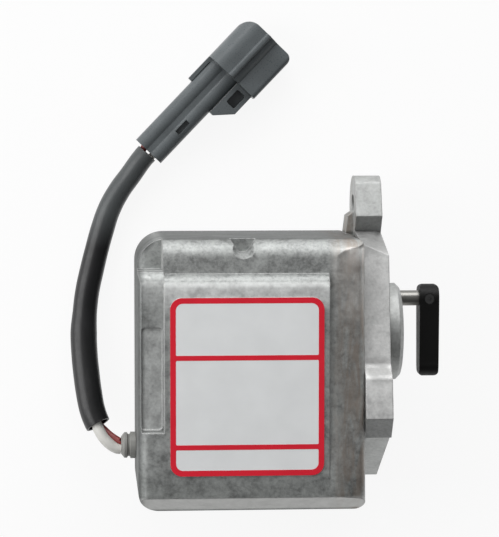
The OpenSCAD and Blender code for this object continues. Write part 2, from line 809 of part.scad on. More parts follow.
// Torsion spring round the collar: one leg lies along the stop finger, the other on the anchor pin
spring_steps = 14;
module return_spring() {
  total = round(spring_turns * spring_steps);
  leg = finger_reach - 2;
  first = concat([spring_x], round_shaft(leg, finger_angle));
  coil = [
    for (i = [0:total])
      concat([spring_x + spring_pitch * i / spring_steps],
             round_shaft(spring_r, finger_angle + spring_turns * 360 * i / total))
  ];
  end_x = spring_x + spring_pitch * spring_turns;
  rest = concat([end_x], round_shaft(anchor_pin_r + 1, spring_far_angle));
  color("darkgray")
    swept_wire(concat([first], coil, [rest]), spring_wire_d / 2, 8, [1, 0.02, 0.03]);
}

module spring_anchor_pin() {
  p = round_shaft(anchor_pin_r, anchor_angle);
  end_x = spring_x + spring_pitch * (spring_turns + 0.6);
  color("gray") rod_x(left_x + 1.5, end_x, anchor_pin_d / 2, p[0], p[1]);
}

module stop_pins() {
  color("gray")
    for (a = stop_angles)
      let (p = round_shaft(stop_pin_r, a))
        rod_x(left_x + 1.5, left_x + 1.5 + stop_pin_l, stop_pin_d / 2, p[0], p[1]);
}

// Arm: hub and tip joined by tangents, with its ends rounded along the shaft
module output_arm() {
  top = shaft_y + arm_hub_r;
  bottom = shaft_y - arm_l - arm_tip_r;
  color([0.1, 0.1, 0.1])
    difference() {
      intersection() {
        along_x(arm_x, arm_x + arm_t) link_2d([shaft_y, 0], arm_hub_r, [shaft_y - arm_l, 0], arm_tip_r);
        translate([0, 0, -arm_hub_r - 1]) linear_extrude(2 * arm_hub_r + 2)
          plate_2d(arm_x, bottom, arm_x + arm_t, top, [arm_edge, arm_edge, arm_edge, arm_edge]);
      }
      rod_x(arm_x - 1, arm_x + arm_t + 1, shaft_r + press_gap, shaft_y);
      translate([arm_x + arm_t / 2, shaft_y, 0]) cylinder(h = arm_hub_r + 1, r = set_screw_d / 2 + press_gap);
    }
}

module arm_set_screw() {
  socket = 0.75;
  top = arm_hub_r - 0.5;
  color("gray")
    difference() {
      translate([arm_x + arm_t / 2, shaft_y, shaft_r + slip_gap])
        cylinder(h = top - shaft_r - slip_gap, r = set_screw_d / 2);
      translate([arm_x + arm_t / 2, shaft_y, top - 0.9]) cylinder(h = 2, r = socket, $fn = 6);
    }
}

// Laminated core: a yoke under the coil and two pole arms round the rotor
module stator_core() {
  color("darkslategray")
    along_x(stack_x, stack_x + stack_l)
      difference() {
        union() {
          for (z = [-core_half, core_inner])
            translate([core_bottom, z]) square([core_top - core_bottom, pole_t]);
          translate([core_bottom, -core_half]) square([yoke_t, 2 * core_half]);
        }
        translate([shaft_y, 0]) circle(rotor_d / 2 + air_gap);
      }
}

module core_strap() {
  color("lightgray")
    translate([0, 0, -core_half - strap_t]) linear_extrude(strap_t)
      difference() {
        plate_2d(strap_left_x - strap_post_r, -strap_y - strap_w / 2, strap_right_x + strap_post_r,
                 -strap_y + strap_w / 2, [3, 3, 3, 3]);
        for (x = [strap_left_x, strap_right_x]) translate([x, -strap_y]) circle(core_screw_d / 2 + 0.2);
      }
}

module core_screws() {
  seat_z = -core_half - strap_t;
  color("gainsboro")
    for (x = [strap_left_x, strap_right_x]) translate([x, -strap_y, seat_z]) {
      cylinder(h = core_screw_l, r = core_screw_d / 2);
      difference() {
        translate([0, 0, -core_head_h]) cylinder(h = core_head_h, r = core_screw_d / 2 + 1.2);
        translate([-core_screw_d, -0.4, -core_head_h - 1]) cube([2 * core_screw_d, 0.8, 1.7]);
      }
    }
}

// Rectangle round the yoke, grown by a margin
module yoke_frame(grow) {
  translate([stack_x - grow, core_bottom - grow]) square([stack_l + 2 * grow, yoke_t + 2 * grow]);
}
module coil_bobbin() {
  color("ivory")
    difference() {
      union() {
        translate([0, 0, -bobbin_half]) linear_extrude(2 * bobbin_half) yoke_frame(bobbin_wall + slip_gap);
        for (z = [-bobbin_half, bobbin_half - bobbin_wall])
          translate([0, 0, z]) linear_extrude(bobbin_wall) yoke_frame(bobbin_flange + slip_gap);
      }
      translate([0, 0, -bobbin_half - 1]) linear_extrude(2 * bobbin_half + 2) yoke_frame(slip_gap);
    }
}

module coil_winding() {
  inner = bobbin_wall + 2 * slip_gap;
  half = bobbin_half - bobbin_wall - slip_gap;
  color("chocolate")
    translate([0, 0, -half]) linear_extrude(2 * half)
      difference() {
        plate_2d(
          stack_x - inner - winding_t, core_bottom - inner - winding_t,
          stack_x + stack_l + inner + winding_t, core_bottom + yoke_t + inner + winding_t,
          [winding_t, winding_t, winding_t, winding_t]
        );
        yoke_frame(inner);
      }
}

// Rubber grommet: two rings and a groove outside, a neck in the wall and a lip inside
module cable_grommet() {
  r = grommet_d / 2;
  neck = grommet_neck_d / 2;
  tip = r * 0.66;
  color("gray")
    difference() {
      translate([left_x, grommet_y, grommet_z]) rotate([0, -90, 0])
        rotate_extrude()
          polygon([
            [0, -wall_t - 1.2], [r, -wall_t - 1.2], [r, -wall_t], [neck, -wall_t], [neck, 0], [r, 0],
            [r, grommet_l * 0.36], [r - 0.7, grommet_l * 0.42], [r - 0.7, grommet_l * 0.54],
            [r - 0.15, grommet_l * 0.6], [r - 0.15, grommet_l * 0.78], [tip, grommet_l], [0, grommet_l]
          ]);
      for (s = [-1, 1])
        rod_x(left_x - grommet_l - 1, cavity_left + 3, wire_d / 2 + slip_gap,
              grommet_y + s * wire_pair / 2, grommet_z);
    }
}

// The two wires lie side by side, cross over inside the sleeve and part again at the connector
up = [0, 0, 1];
function ramp(i, a, b) = min(max((i - a) / (b - a), 0), 1);
function turn_at(i) = -80 * ramp(i, 5, sleeve_from) - 100 * ramp(i, sleeve_from + 2, 16);
function spread_at(i) =
  i <= sleeve_from ? wire_pair / 2
    : i <= sleeve_to ? wire_d / 2 + slip_gap
    : i == sleeve_to + 1 ? cavity_pitch / 2 - 0.6 : cavity_pitch / 2;
function wire_route(s) = [
  for (i = [0:len(lead_route) - 1])
    lead_route[i] + s * spread_at(i) * (
      cos(turn_at(i)) * side_of(lead_route, i, up) + sin(turn_at(i)) * rise_of(lead_route, i, up)
    )
];
module lead_wire_white() { color("white") swept_wire(wire_route(-1), wire_d / 2, wire_sides, up); }
module lead_wire_red() { color("firebrick") swept_wire(wire_route(1), wire_d / 2, wire_sides, up); }

// Hollow sleeve over the middle of the lead, drawn in towards the connector
module cable_sleeve() {
  picks = [for (i = [sleeve_from:2:sleeve_to]) lead_route[i]];
  last = len(picks) - 1;
  narrow = [for (i = [0:last]) 1 - (1 - sleeve_taper) * ramp(i, last - 2, last)];
  outer = [for (i = [0:last]) each ring(picks, i, narrow[i] * sleeve_d / 2, sleeve_sides, up)];
  inner = [for (i = [0:last]) each ring(picks, i, narrow[i] * sleeve_d / 2 - sleeve_wall, sleeve_sides, up)];
  base = (last + 1) * sleeve_sides;
  walls = [
    for (i = [0:last - 1], k = [0:sleeve_sides - 1])
      let (n = (k + 1) % sleeve_sides, a = i * sleeve_sides, b = a + sleeve_sides)
      each [
        [a + k, b + k, a + n], [a + n, b + k, b + n],
        [base + a + k, base + a + n, base + b + k], [base + a + n, base + b + n, base + b + k]
      ]
  ];
  rims = [
    for (k = [0:sleeve_sides - 1])
      let (n = (k + 1) % sleeve_sides, e = last * sleeve_sides)
      each [
        [k, n, base + k], [n, base + n, base + k],
        [e + k, base + e + k, e + n], [e + n, base + e + k, base + e + n]
      ]
  ];
  color([0.12, 0.12, 0.13]) polyhedron(points = concat(outer, inner), faces = concat(walls, rims));
}

// Everything of the connector is drawn along its own axis, from the wire end to the mouth
module at_connector() { translate(conn_origin) rotate([0, 0, conn_angle]) children(); }
cavity_sides = [-cavity_pitch / 2, cavity_pitch / 2];
socket_y = [-shroud_w / 2, shroud_w / 2];
latch_y = socket_y[0] - latch_w;

module shroud_section(inset) {
  plate_2d(socket_y[0] + inset, -shroud_h / 2 + inset, socket_y[1] - inset, shroud_h / 2 - inset,
           [shroud_r - inset, shroud_r - inset, shroud_r - inset, shroud_r - inset]);
}

module connector_housing() {
  color("slategray")
    at_connector()
      difference() {
        union() {
          along_x(shroud_u, conn_l) {
            shroud_section(0);
            plate_2d(latch_y, -shroud_h / 2 + 2, 0, shroud_h / 2 - 2.2, [1.5, 0, 0, 1.5]);
            plate_2d(-3.2, 0, -1.2, shroud_h / 2 + 0.8, [0, 0, 0.8, 0.8]);
          }
          for (y = cavity_sides) rod_x(0, shroud_u + 2, barrel_r, y);
          along_x(0, shroud_u + 2) plate_2d(cavity_sides[0], -2.4, cavity_sides[1], 2.4, [0, 0, 0, 0]);
          difference() {
            along_x(hood_u, shroud_u + eps) shroud_section(0);
            along_x(hood_u - 1, shroud_u - 1.2) shroud_section(shroud_wall);
            translate([hood_u - 1, -shroud_w, hood_top])
              cube([shroud_u - hood_u + 1 - eps, 2 * shroud_w, shroud_h]);
            translate([0, 0, -shroud_h]) linear_extrude(2 * shroud_h)
              polygon([
                [hood_u - 1, 1], [hood_u + 3, 0.4], [shroud_u + 0.2, -3.5],
                [shroud_u + 0.2, -shroud_w], [hood_u - 1, -shroud_w]
              ]);
          }
        }
        along_x(socket_u, conn_l + 1) shroud_section(shroud_wall);
        along_x(shroud_u + 2, conn_l + 1)
          plate_2d(latch_y + 1.1, -shroud_h / 2 + 3.2, socket_y[0] - 0.9, shroud_h / 2 - 3.4,
                   [0.6, 0.6, 0.6, 0.6]);
        for (y = cavity_sides) {
          rod_x(-1, cavity_l, cavity_d / 2, y);
          translate([cavity_l - 1, y - blade_w / 2 - slip_gap, -blade_t / 2 - slip_gap])
            cube([socket_u - cavity_l + 2, blade_w + 2 * slip_gap, blade_t + 2 * slip_gap]);
        }
        translate([slot_u, cavity_sides[0] - slot_w / 2, blade_t]) cube([slot_l, slot_w, barrel_r]);
        translate([0, 0, -shroud_h]) linear_extrude(2 * shroud_h) {
          corner_cut([conn_l, socket_y[1], -1, -1], mouth_r);
          corner_cut([conn_l, latch_y, -1, 1], latch_r);
        }
      }
}

// Locking lever that lies against the lower barrel, behind the latch box
module connector_lock() {
  y1 = cavity_sides[0] - barrel_r - slip_gap;
  y0 = latch_y + 1;
  color("dimgray")
    at_connector()
      difference() {
        translate([0, 0, -lock_h / 2]) linear_extrude(lock_h)
          polygon([
            [lock_u, y1 - lock_wall], [lock_u, y1], [shroud_u - slip_gap, y1], [shroud_u - slip_gap, y0],
            [lock_u + lock_ramp, y0]
          ]);
        translate([0, 0, -lock_h / 2 + lock_wall]) linear_extrude(lock_h)
          plate_2d(lock_u + lock_ramp + 1, y0 + lock_wall, shroud_u - lock_wall, y1 - lock_wall,
                   [0.6, 0.6, 0.6, 0.6]);
      }
}

module wire_seals() {
  r = cavity_d / 2 - slip_gap;
  color("darkgray")
    at_connector()
      for (y = cavity_sides) translate([seal_u, y, 0]) rotate([0, 90, 0])
        rotate_extrude()
          polygon([
            [wire_d / 2 + slip_gap, 0], [r, 0], [r, 0.8], [r - 0.4, 1.2], [r, 1.6], [r, 2.4], [r - 0.4, 2.8],
            [r, 3.2], [r, 4], [wire_d / 2 + slip_gap, 4]
          ]);
}

module connector_terminals() {
  tip = 1.2;
  color("gold")
    at_connector()
      for (y = cavity_sides) {
        rod_x(wire_end_u + slip_gap, cavity_l - slip_gap, wire_d / 2, y);
        translate([0, y, -blade_t / 2]) linear_extrude(blade_t)
          polygon([
            [cavity_l - 0.4, -blade_w / 2], [conn_l - blade_back - tip, -blade_w / 2],
            [conn_l - blade_back, -blade_w / 4], [conn_l - blade_back, blade_w / 4],
            [conn_l - blade_back - tip, blade_w / 2], [cavity_l - 0.4, blade_w / 2]
          ]);
      }
}

module name_plate() {
  mid_x = (panel_left + panel_right) / 2;
  color("white")
    translate([0, 0, panel_front]) linear_extrude(plate_t)
      plate_2d(mid_x - plate_w / 2, -plate_y - plate_h / 2, mid_x + plate_w / 2, -plate_y + plate_h / 2,
               [plate_r, plate_r, plate_r, plate_r]);
}

housing();
rear_cover();
cover_gasket();
cover_screws();
output_shaft();
rotor();
front_bearing_outer();
front_bearing_inner();
front_bearing_balls();
rear_bearing_outer();
rear_bearing_inner();
rear_bearing_balls();
shaft_seal();
retaining_ring();
spring_collar();
return_spring();
spring_anchor_pin();
stop_pins();
output_arm();
arm_set_screw();
stator_core();
core_strap();
core_screws();
coil_bobbin();
coil_winding();
cable_grommet();
lead_wire_white();
lead_wire_red();
cable_sleeve();
connector_housing();
connector_lock();
wire_seals();
connector_terminals();
name_plate();
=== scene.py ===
import json
import math

import bmesh
import bpy
from mathutils import Matrix, Vector


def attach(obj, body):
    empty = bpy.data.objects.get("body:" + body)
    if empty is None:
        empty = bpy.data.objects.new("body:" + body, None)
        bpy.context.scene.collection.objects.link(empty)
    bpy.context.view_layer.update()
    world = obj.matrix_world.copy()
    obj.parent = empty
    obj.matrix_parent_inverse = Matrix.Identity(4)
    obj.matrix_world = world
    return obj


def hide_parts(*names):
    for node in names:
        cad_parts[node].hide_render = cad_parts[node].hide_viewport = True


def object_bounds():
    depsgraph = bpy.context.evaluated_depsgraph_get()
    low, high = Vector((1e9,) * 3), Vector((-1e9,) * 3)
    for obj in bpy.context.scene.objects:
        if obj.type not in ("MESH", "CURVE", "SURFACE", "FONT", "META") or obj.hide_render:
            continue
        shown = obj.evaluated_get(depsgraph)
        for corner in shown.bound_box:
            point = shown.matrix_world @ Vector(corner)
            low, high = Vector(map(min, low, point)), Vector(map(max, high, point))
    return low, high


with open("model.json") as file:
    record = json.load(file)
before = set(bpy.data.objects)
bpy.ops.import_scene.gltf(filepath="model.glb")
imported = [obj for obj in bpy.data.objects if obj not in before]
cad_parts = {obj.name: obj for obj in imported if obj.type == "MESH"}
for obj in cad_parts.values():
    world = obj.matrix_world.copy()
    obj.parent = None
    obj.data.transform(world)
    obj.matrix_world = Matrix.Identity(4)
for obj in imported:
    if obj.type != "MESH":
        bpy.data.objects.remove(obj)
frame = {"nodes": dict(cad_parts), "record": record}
nodes = frame["nodes"]
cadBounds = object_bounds()
print("frame loaded with", len(nodes), "nodes")

mm = 0.001


# Camera over the label panel, leaning a little to the left and to the far edge
cameraSetup = {
    "lean": (4.0, 4.0),              # degrees to the left and to the far edge
    "distance": 726 * mm,
    "focalPixels": 2333.0,
    "frameSize": (499, 537),
    "originPixel": (383.2, 331.0),   # where the part's origin lands in the picture
    "sensorWidth": 36.0,
    "clip": (0.01, 20),
}


def makeCamera(setup):
    leanX, leanY = (math.tan(math.radians(a)) for a in setup["lean"])
    back = Vector((-leanX, leanY, 1)).normalized()
    up = (Vector((0, 1, 0)) - back * back.y).normalized()
    right = up.cross(back)
    width, height = setup["frameSize"]
    shiftX = (setup["originPixel"][0] - width / 2) / setup["focalPixels"]
    shiftY = -(setup["originPixel"][1] - height / 2) / setup["focalPixels"]
    bpy.ops.object.camera_add()
    camera = bpy.context.object
    camera.name = "photoCamera"
    camera.location = setup["distance"] * (back - right * shiftX - up * shiftY)
    camera.rotation_mode = "QUATERNION"
    camera.rotation_quaternion = Matrix((right, up, back)).transposed().to_quaternion()
    # the long side of the frame takes the sensor width
    camera.data.sensor_width = setup["sensorWidth"]
    camera.data.lens = setup["focalPixels"] * setup["sensorWidth"] / max(width, height)
    camera.data.clip_start, camera.data.clip_end = setup["clip"]
    bpy.context.scene.camera = camera


makeCamera(cameraSetup)
print("camera set")


# Small helpers for node materials, all read on Object coordinates
def startMaterial(name, color, rough, metal=0.0):
    material = bpy.data.materials.new(name)
    material.use_nodes = True
    tree = material.node_tree
    shader = tree.nodes["Principled BSDF"]
    shader.inputs["Base Color"].default_value = (*color, 1)
    shader.inputs["Roughness"].default_value = rough
    shader.inputs["Metallic"].default_value = metal
    place = tree.nodes.new("ShaderNodeTexCoord").outputs["Object"]
    return material, tree, shader, place


def addNoise(tree, place, scale, detail=4.0, rough=0.55, stretch=(1, 1, 1), warp=0.0):
    mapping = tree.nodes.new("ShaderNodeMapping")
    mapping.inputs["Scale"].default_value = stretch
    tree.links.new(place, mapping.inputs["Vector"])
    noise = tree.nodes.new("ShaderNodeTexNoise")
    noise.inputs["Scale"].default_value = scale
    noise.inputs["Detail"].default_value = detail
    noise.inputs["Roughness"].default_value = rough
    noise.inputs["Distortion"].default_value = warp
    tree.links.new(mapping.outputs["Vector"], noise.inputs["Vector"])
    return noise.outputs["Fac"]


def addRange(tree, value, low, high, toLow, toHigh):
    span = tree.nodes.new("ShaderNodeMapRange")
    for name, number in (("From Min", low), ("From Max", high), ("To Min", toLow), ("To Max", toHigh)):
        span.inputs[name].default_value = number
    tree.links.new(value, span.inputs["Value"])
    return span.outputs["Result"]


def addRamp(tree, value, stops):
    ramp = tree.nodes.new("ShaderNodeValToRGB")
    elements = ramp.color_ramp.elements
    while len(elements) < len(stops):
        elements.new(0.5)
    for element, (position, color) in zip(elements, stops):
        element.position = position
        element.color = (*color, 1)
    tree.links.new(value, ramp.inputs["Fac"])
    return ramp.outputs["Color"]


def feed(tree, socket, value):
    if isinstance(value, (int, float)):
        socket.default_value = value
    elif isinstance(value, tuple):
        socket.default_value = (*value, 1)
    else:
        tree.links.new(value, socket)


# The Mix node's sockets 2 and 3 take numbers, 6 and 7 take colours
def addMix(tree, factor, first, second, blend="MIX"):
    mix = tree.nodes.new("ShaderNodeMix")
    mix.data_type = "RGBA"
    mix.blend_type = blend
    for number, value in ((0, factor), (6, first), (7, second)):
        feed(tree, mix.inputs[number], value)
    return mix.outputs[2]


def addBlend(tree, first, second, share):
    mix = tree.nodes.new("ShaderNodeMix")
    mix.data_type = "FLOAT"
    for number, value in ((0, share), (2, first), (3, second)):
        feed(tree, mix.inputs[number], value)
    return mix.outputs[0]


def addMath(tree, operation, *values, clamp=False):
    node = tree.nodes.new("ShaderNodeMath")
    node.operation = operation
    node.use_clamp = clamp
    for socket, value in zip(node.inputs, values):
        feed(tree, socket, value)
    return node.outputs[0]


def addSpan(tree, value, low, high, fade):
    return addMath(tree, "MULTIPLY", addRange(tree, value, low - fade, low, 0.0, 1.0),
                   addRange(tree, value, high, high + fade, 1.0, 0.0))


def addAxis(tree, place, axis):
    split = tree.nodes.new("ShaderNodeSeparateXYZ")
    tree.links.new(place, split.inputs[0])
    return split.outputs[axis]


def addVector(tree, place, operation, vector):
    node = tree.nodes.new("ShaderNodeVectorMath")
    node.operation = operation
    node.inputs[1].default_value = vector
    tree.links.new(place, node.inputs[0])
    return node.outputs["Value"]


def addBump(tree, shader, height, strength, distance, base=None):
    bump = tree.nodes.new("ShaderNodeBump")
    bump.inputs["Strength"].default_value = strength
    bump.inputs["Distance"].default_value = distance
    tree.links.new(height, bump.inputs["Height"])
    if base is not None:
        tree.links.new(base, bump.inputs["Normal"])
    tree.links.new(bump.outputs["Normal"], shader.inputs["Normal"])
    return bump.outputs["Normal"]


def softEdge(tree, radius):
    bevel = tree.nodes.new("ShaderNodeBevel")
    bevel.samples = 6
    bevel.inputs["Radius"].default_value = radius
    return bevel.outputs["Normal"]


def edgeMask(tree, radius, low, high):
    geometry = tree.nodes.new("ShaderNodeNewGeometry")
    dot = tree.nodes.new("ShaderNodeVectorMath")
    dot.operation = "DOT_PRODUCT"
    tree.links.new(softEdge(tree, radius), dot.inputs[0])
    tree.links.new(geometry.outputs["Normal"], dot.inputs[1])
    return addRange(tree, dot.outputs["Value"], low, high, 1.0, 0.0)


# Tumbled die casting: grey satin metal with cast grain, clouds and rubbed edges, with painted light and
# painted shade on some places.
# A pair of X, Y or Z values says where a look begins and where it has its full share.
castFinish = {
    "plain": {"color": (0.39, 0.39, 0.38), "rough": 0.58, "metal": 0.92},
    "cloud": {"scale": 85.0, "detail": 5, "rough": 0.62, "warp": 0.8},
    "patch": {"scale": 330.0, "detail": 4, "rough": 0.6, "warp": 0.4},
    "speck": {"scale": 1100.0, "detail": 3, "rough": 0.6},
    "grain": {"scale": 2600.0, "detail": 2, "rough": 0.5},
    "patchShare": 0.5,
    "speckShare": 0.3,
    "tones": (
        (0.37, (0.22, 0.2265, 0.2225)), (0.50, (0.375, 0.386, 0.379)), (0.63, (0.50, 0.515, 0.506)),
    ),
    "roughFrom": (0.3, 0.7),                   # patch values between which the roughness changes
    "rough": (0.50, 0.70),
    "bumps": {"patch": (0.25, 0.25 * mm), "speck": (0.30, 0.10 * mm), "grain": (0.25, 0.04 * mm)},
    "edgeRadius": 0.5 * mm,
    "edgeTone": (0.41, 0.413, 0.41),
    "edgeFrom": (0.80, 0.99),
    # brown strip by the flange, and the blasted flange
    "stainTone": (0.31, 0.262, 0.225),
    "stainFrom": (-19.5 * mm, -15 * mm),       # X
    "stainShare": 0.75,
    "streaks": {"scale": 160, "detail": 4, "rough": 0.6, "stretch": (2.5, 0.5, 1), "warp": 0.6},
    "streakFrom": (0.36, 0.62),
    "flangeTone": (0.62, 0.623, 0.615),
    "flangeFrom": (-9 * mm, -7.8 * mm),        # X
    "flangeShare": 0.28,
    # painted shade on the outer walls: what they keep of the tone, and where they begin
    "wallShadeTone": (0.40, 0.405, 0.405),
    "farWallFrom": (29.5 * mm, 30.0 * mm),     # Y
    "farWallTo": (30.3 * mm, 31.0 * mm),       # Y past the far wall, where the web of the upper lug stands
    "nearWallFrom": (-51.9 * mm, -52.35 * mm),
    "leftWallFrom": (-74.6 * mm, -76.4 * mm),  # X
    "cornerFrom": (70.3 * mm, 71.8 * mm),      # way out along the diagonal to the round corner
    "diagonal": (-0.7071, 0.7071, 0),
    "shadeSpot": None,                          # centre and reach of a place with painted shade
    # painted light on the far ends of the panel and of the left strip, painted highlights at the tier's end
    # by the flange, and a lighter floor of the plaque
    "brightTone": (0.55, 0.552, 0.55),
    "brightFrom": (7 * mm, 16 * mm),           # Y
    "brightAbove": (25.55 * mm, 25.95 * mm),   # Z that only the top of the panel reaches
    "panelLightShare": 0.85,
    "stripFrom": (9 * mm, 18 * mm),            # Y
    "stripAbove": (24.8 * mm, 25.15 * mm),     # Z
    "stripEdge": (-68.8 * mm, -69.1 * mm),     # X
    "stripLightShare": 0.42,
    "tierEndHighlights": (                              # painted highlight at the tier's right end: X where it begins, Y over which it grows
        {"from": (-18.6 * mm, -17.6 * mm), "along": (2 * mm, 11 * mm), "share": 0.25},
        {"from": (-14.4 * mm, -12.8 * mm), "along": (21.5 * mm, 27.0 * mm), "share": 0.68},
    ),
    "tierEndsAt": (26.9 * mm, 27.7 * mm),
    "plaqueSpans": ((-75.7 * mm, -69.7 * mm), (-26.7 * mm, 3.7 * mm), (24.0 * mm, 24.7 * mm)),   # X, Y, Z
    "plaqueShare": 0.24,
    # painted shade on the near end, and painted light from the floor on the foot that slopes down from it
    "nearShadeTone": (0.84, 0.845, 0.84),
    "nearShadeFrom": (-38 * mm, -42.5 * mm),        # Y
    "footLightTone": (0.55, 0.55, 0.54),
    "footFrom": (-47.2 * mm, -48.0 * mm),      # Y
    "footTo": (-51.4 * mm, -52.2 * mm),        # Y where it turns down to the near wall
    "footAbove": (9 * mm, 12 * mm),            # Z, so that the side walls stay out of it
    "footLightShare": 0.75,
    # painted shade on the lugs' undersides, what they keep of the tone: Y span, and how far the plane lies
    # along its normal
    "underShadeTone": (0.74, 0.74, 0.745),
    "underSpans": ((-30.5 * mm, -24.3 * mm, 35.1 * mm), (29.4 * mm, 35.5 * mm, -24.18 * mm)),
    "underNormal": (0, -0.6157, 0.788),
    "fade": 0.4 * mm,
}


def makeCast(name, setup):
    material, tree, shader, place = startMaterial(name, **setup["plain"])
    layers = {layer: addNoise(tree, place, **setup[layer])
              for layer in ("cloud", "patch", "speck", "grain", "streaks")}
    across, along, height = (addAxis(tree, place, axis) for axis in "XYZ")

    def grows(value, reach, share=1.0):
        return addRange(tree, value, *setup[reach], 0.0, share)

    def fades(value, reach):
        return addRange(tree, value, *setup[reach], 1.0, 0.0)

    def both(first, *others):
        for other in others:
            first = addMath(tree, "MULTIPLY", first, other)
        return first

    clouds = addBlend(tree, layers["cloud"], layers["patch"], setup["patchShare"])
    tone = addRamp(tree, addBlend(tree, clouds, layers["speck"], setup["speckShare"]), setup["tones"])
    stain = both(grows(layers["streaks"], "streakFrom"), grows(across, "stainFrom", setup["stainShare"]))
    look = addMix(tree, stain, tone, setup["stainTone"])

    spans = [addSpan(tree, value, *reach, setup["fade"])
             for value, reach in zip((across, along, height), setup["plaqueSpans"])]
    # painted light on the far ends of the panel and the left strip, and a lighter floor of the plaque
    bright = [
        both(grows(along, "brightFrom", setup["panelLightShare"]), grows(height, "brightAbove")),
        both(grows(height, "stripAbove"), grows(across, "stripEdge"),
             grows(along, "stripFrom", setup["stripLightShare"])),
        addRange(tree, both(*spans), 0.0, 1.0, 0.0, setup["plaqueShare"]),
    ]
    # painted highlights at the tier's end by the flange
    for end in setup["tierEndHighlights"]:
        bright.append(both(addRange(tree, across, *end["from"], 0.0, 1.0),
                           addRange(tree, along, *end["along"], 0.0, end["share"]),
                           fades(along, "tierEndsAt")))
    for mask in bright:
        look = addMix(tree, mask, look, setup["brightTone"], "ADD")

    # painted shade towards the near end
    look = addMix(tree, grows(along, "nearShadeFrom"), look, setup["nearShadeTone"], "MULTIPLY")
    # painted light from the floor on the foot
    foot = both(grows(height, "footAbove", setup["footLightShare"]),
                grows(along, "footFrom"), fades(along, "footTo"))
    look = addMix(tree, foot, look, setup["footLightTone"])

    # painted shade on the outer walls, the round corner and the shade spot
    outward = addVector(tree, place, "DOT_PRODUCT", setup["diagonal"])
    walls = [both(grows(along, "farWallFrom"), fades(along, "farWallTo")), grows(along, "nearWallFrom"),
             grows(across, "leftWallFrom"), grows(outward, "cornerFrom")]
    # painted shade on one spot, where one is given
    if setup["shadeSpot"]:
        away = addVector(tree, place, "DISTANCE", setup["shadeSpot"]["centre"])
        walls.append(addRange(tree, away, *setup["shadeSpot"]["reach"], 1.0, 0.0))
    for mask in walls:
        look = addMix(tree, mask, look, setup["wallShadeTone"], "MULTIPLY")

    onFlange = grows(across, "flangeFrom")
    look = addMix(tree, onFlange, look, tone)
    look = addMix(tree, grows(across, "flangeFrom", setup["flangeShare"]), look, setup["flangeTone"])
    # painted shade along the lugs' undersides
    lift = addVector(tree, place, "DOT_PRODUCT", setup["underNormal"])
    fade = setup["fade"]
    for low, high, level in setup["underSpans"]:
        onPlane = addRange(tree, lift, level - 2 * fade, level - fade, 0.0, 1.0)
        under = both(addSpan(tree, along, low, high, fade), onFlange, onPlane)
        look = addMix(tree, under, look, setup["underShadeTone"], "MULTIPLY")

    rubbed = edgeMask(tree, setup["edgeRadius"], *setup["edgeFrom"])
    tree.links.new(addMix(tree, rubbed, look, setup["edgeTone"]), shader.inputs["Base Color"])
    rough = addRange(tree, layers["patch"], *setup["roughFrom"], *setup["rough"])
    tree.links.new(rough, shader.inputs["Roughness"])
    normal = softEdge(tree, setup["edgeRadius"])
    for layer, (strength, depth) in setup["bumps"].items():
        normal = addBump(tree, shader, layers[layer], strength, depth, normal)
    return material


# Turned, ground, plated and drawn steels, scratched along one way
steelFinish = {
    "lines": {"scale": 1400, "detail": 4, "rough": 0.6},
    "cloud": {"scale": 160, "detail": 3, "rough": 0.5},
    "noiseFrom": (0.3, 0.7),
    "darkest": 0.72,
    "roughSpan": (0.75, 1.3),
    "scratchDepth": 0.03 * mm,
}


def makeSteel(name, color, rough, stretch=(1, 1, 1), scratch=0.25):
    material, tree, shader, place = startMaterial(name, color, rough, metal=1.0)
    lines = addNoise(tree, place, **steelFinish["lines"], stretch=stretch)
    cloud = addNoise(tree, place, **steelFinish["cloud"])
    low, high = steelFinish["noiseFrom"]
    darker = tuple(c * steelFinish["darkest"] for c in color)
    tree.links.new(addRamp(tree, cloud, ((low, darker), (high, color))), shader.inputs["Base Color"])
    roughs = (rough * share for share in steelFinish["roughSpan"])
    tree.links.new(addRange(tree, lines, low, high, *roughs), shader.inputs["Roughness"])
    addBump(tree, shader, lines, scratch, steelFinish["scratchDepth"])
    return material


# Moulded plastics, rubbers, films and insulation
mouldedFinish = {
    "fine": {"detail": 3, "rough": 0.55},
    "fineFrom": (0.3, 0.7),
    "cloud": {"scale": 110, "detail": 3, "rough": 0.5},
    "cloudFrom": (0.32, 0.68),
    "roughSpan": (0.85, 1.15),
    "grainDepth": 0.03 * mm,
}


def makeMoulded(name, color, rough, grainScale=1800.0, grain=0.2, shade=0.8, edge=0.25 * mm, gloss=0.5,
                paleEnd=None):
    material, tree, shader, place = startMaterial(name, color, rough)
    fine = addNoise(tree, place, grainScale, **mouldedFinish["fine"])
    cloud = addNoise(tree, place, **mouldedFinish["cloud"])
    low, high = mouldedFinish["cloudFrom"]
    tone = addRamp(tree, cloud, ((low, tuple(c * shade for c in color)), (high, color)))
    if paleEnd:
        paler = addRange(tree, addAxis(tree, place, "Y"), *paleEnd["from"], 0.0, 1.0)
        tone = addMix(tree, paler, tone, paleEnd["tone"])
    tree.links.new(tone, shader.inputs["Base Color"])
    roughs = (rough * share for share in mouldedFinish["roughSpan"])
    tree.links.new(addRange(tree, fine, *mouldedFinish["fineFrom"], *roughs), shader.inputs["Roughness"])
    shader.inputs["Specular IOR Level"].default_value = gloss
    addBump(tree, shader, fine, grain, mouldedFinish["grainDepth"], softEdge(tree, edge) if edge else None)
    return material


# Wound wire and stacked sheet, as bands of one pitch
wavePeriod = 0.314   # width of a band of the wave texture at scale 1
windings = {
    "axis": "Z", "pitch": 0.5 * mm, "warp": 0.4, "rough": 0.32, "metal": 0.9,
    "darkest": 0.35, "rampFrom": (0.1, 0.6), "bump": (0.6, 0.2 * mm),
}
laminations = {
    "axis": "X", "pitch": 0.5 * mm, "warp": 0.0, "rough": 0.5, "metal": 0.9,
    "darkest": 0.55, "rampFrom": (0.08, 0.3), "bump": (0.4, 0.08 * mm),
}


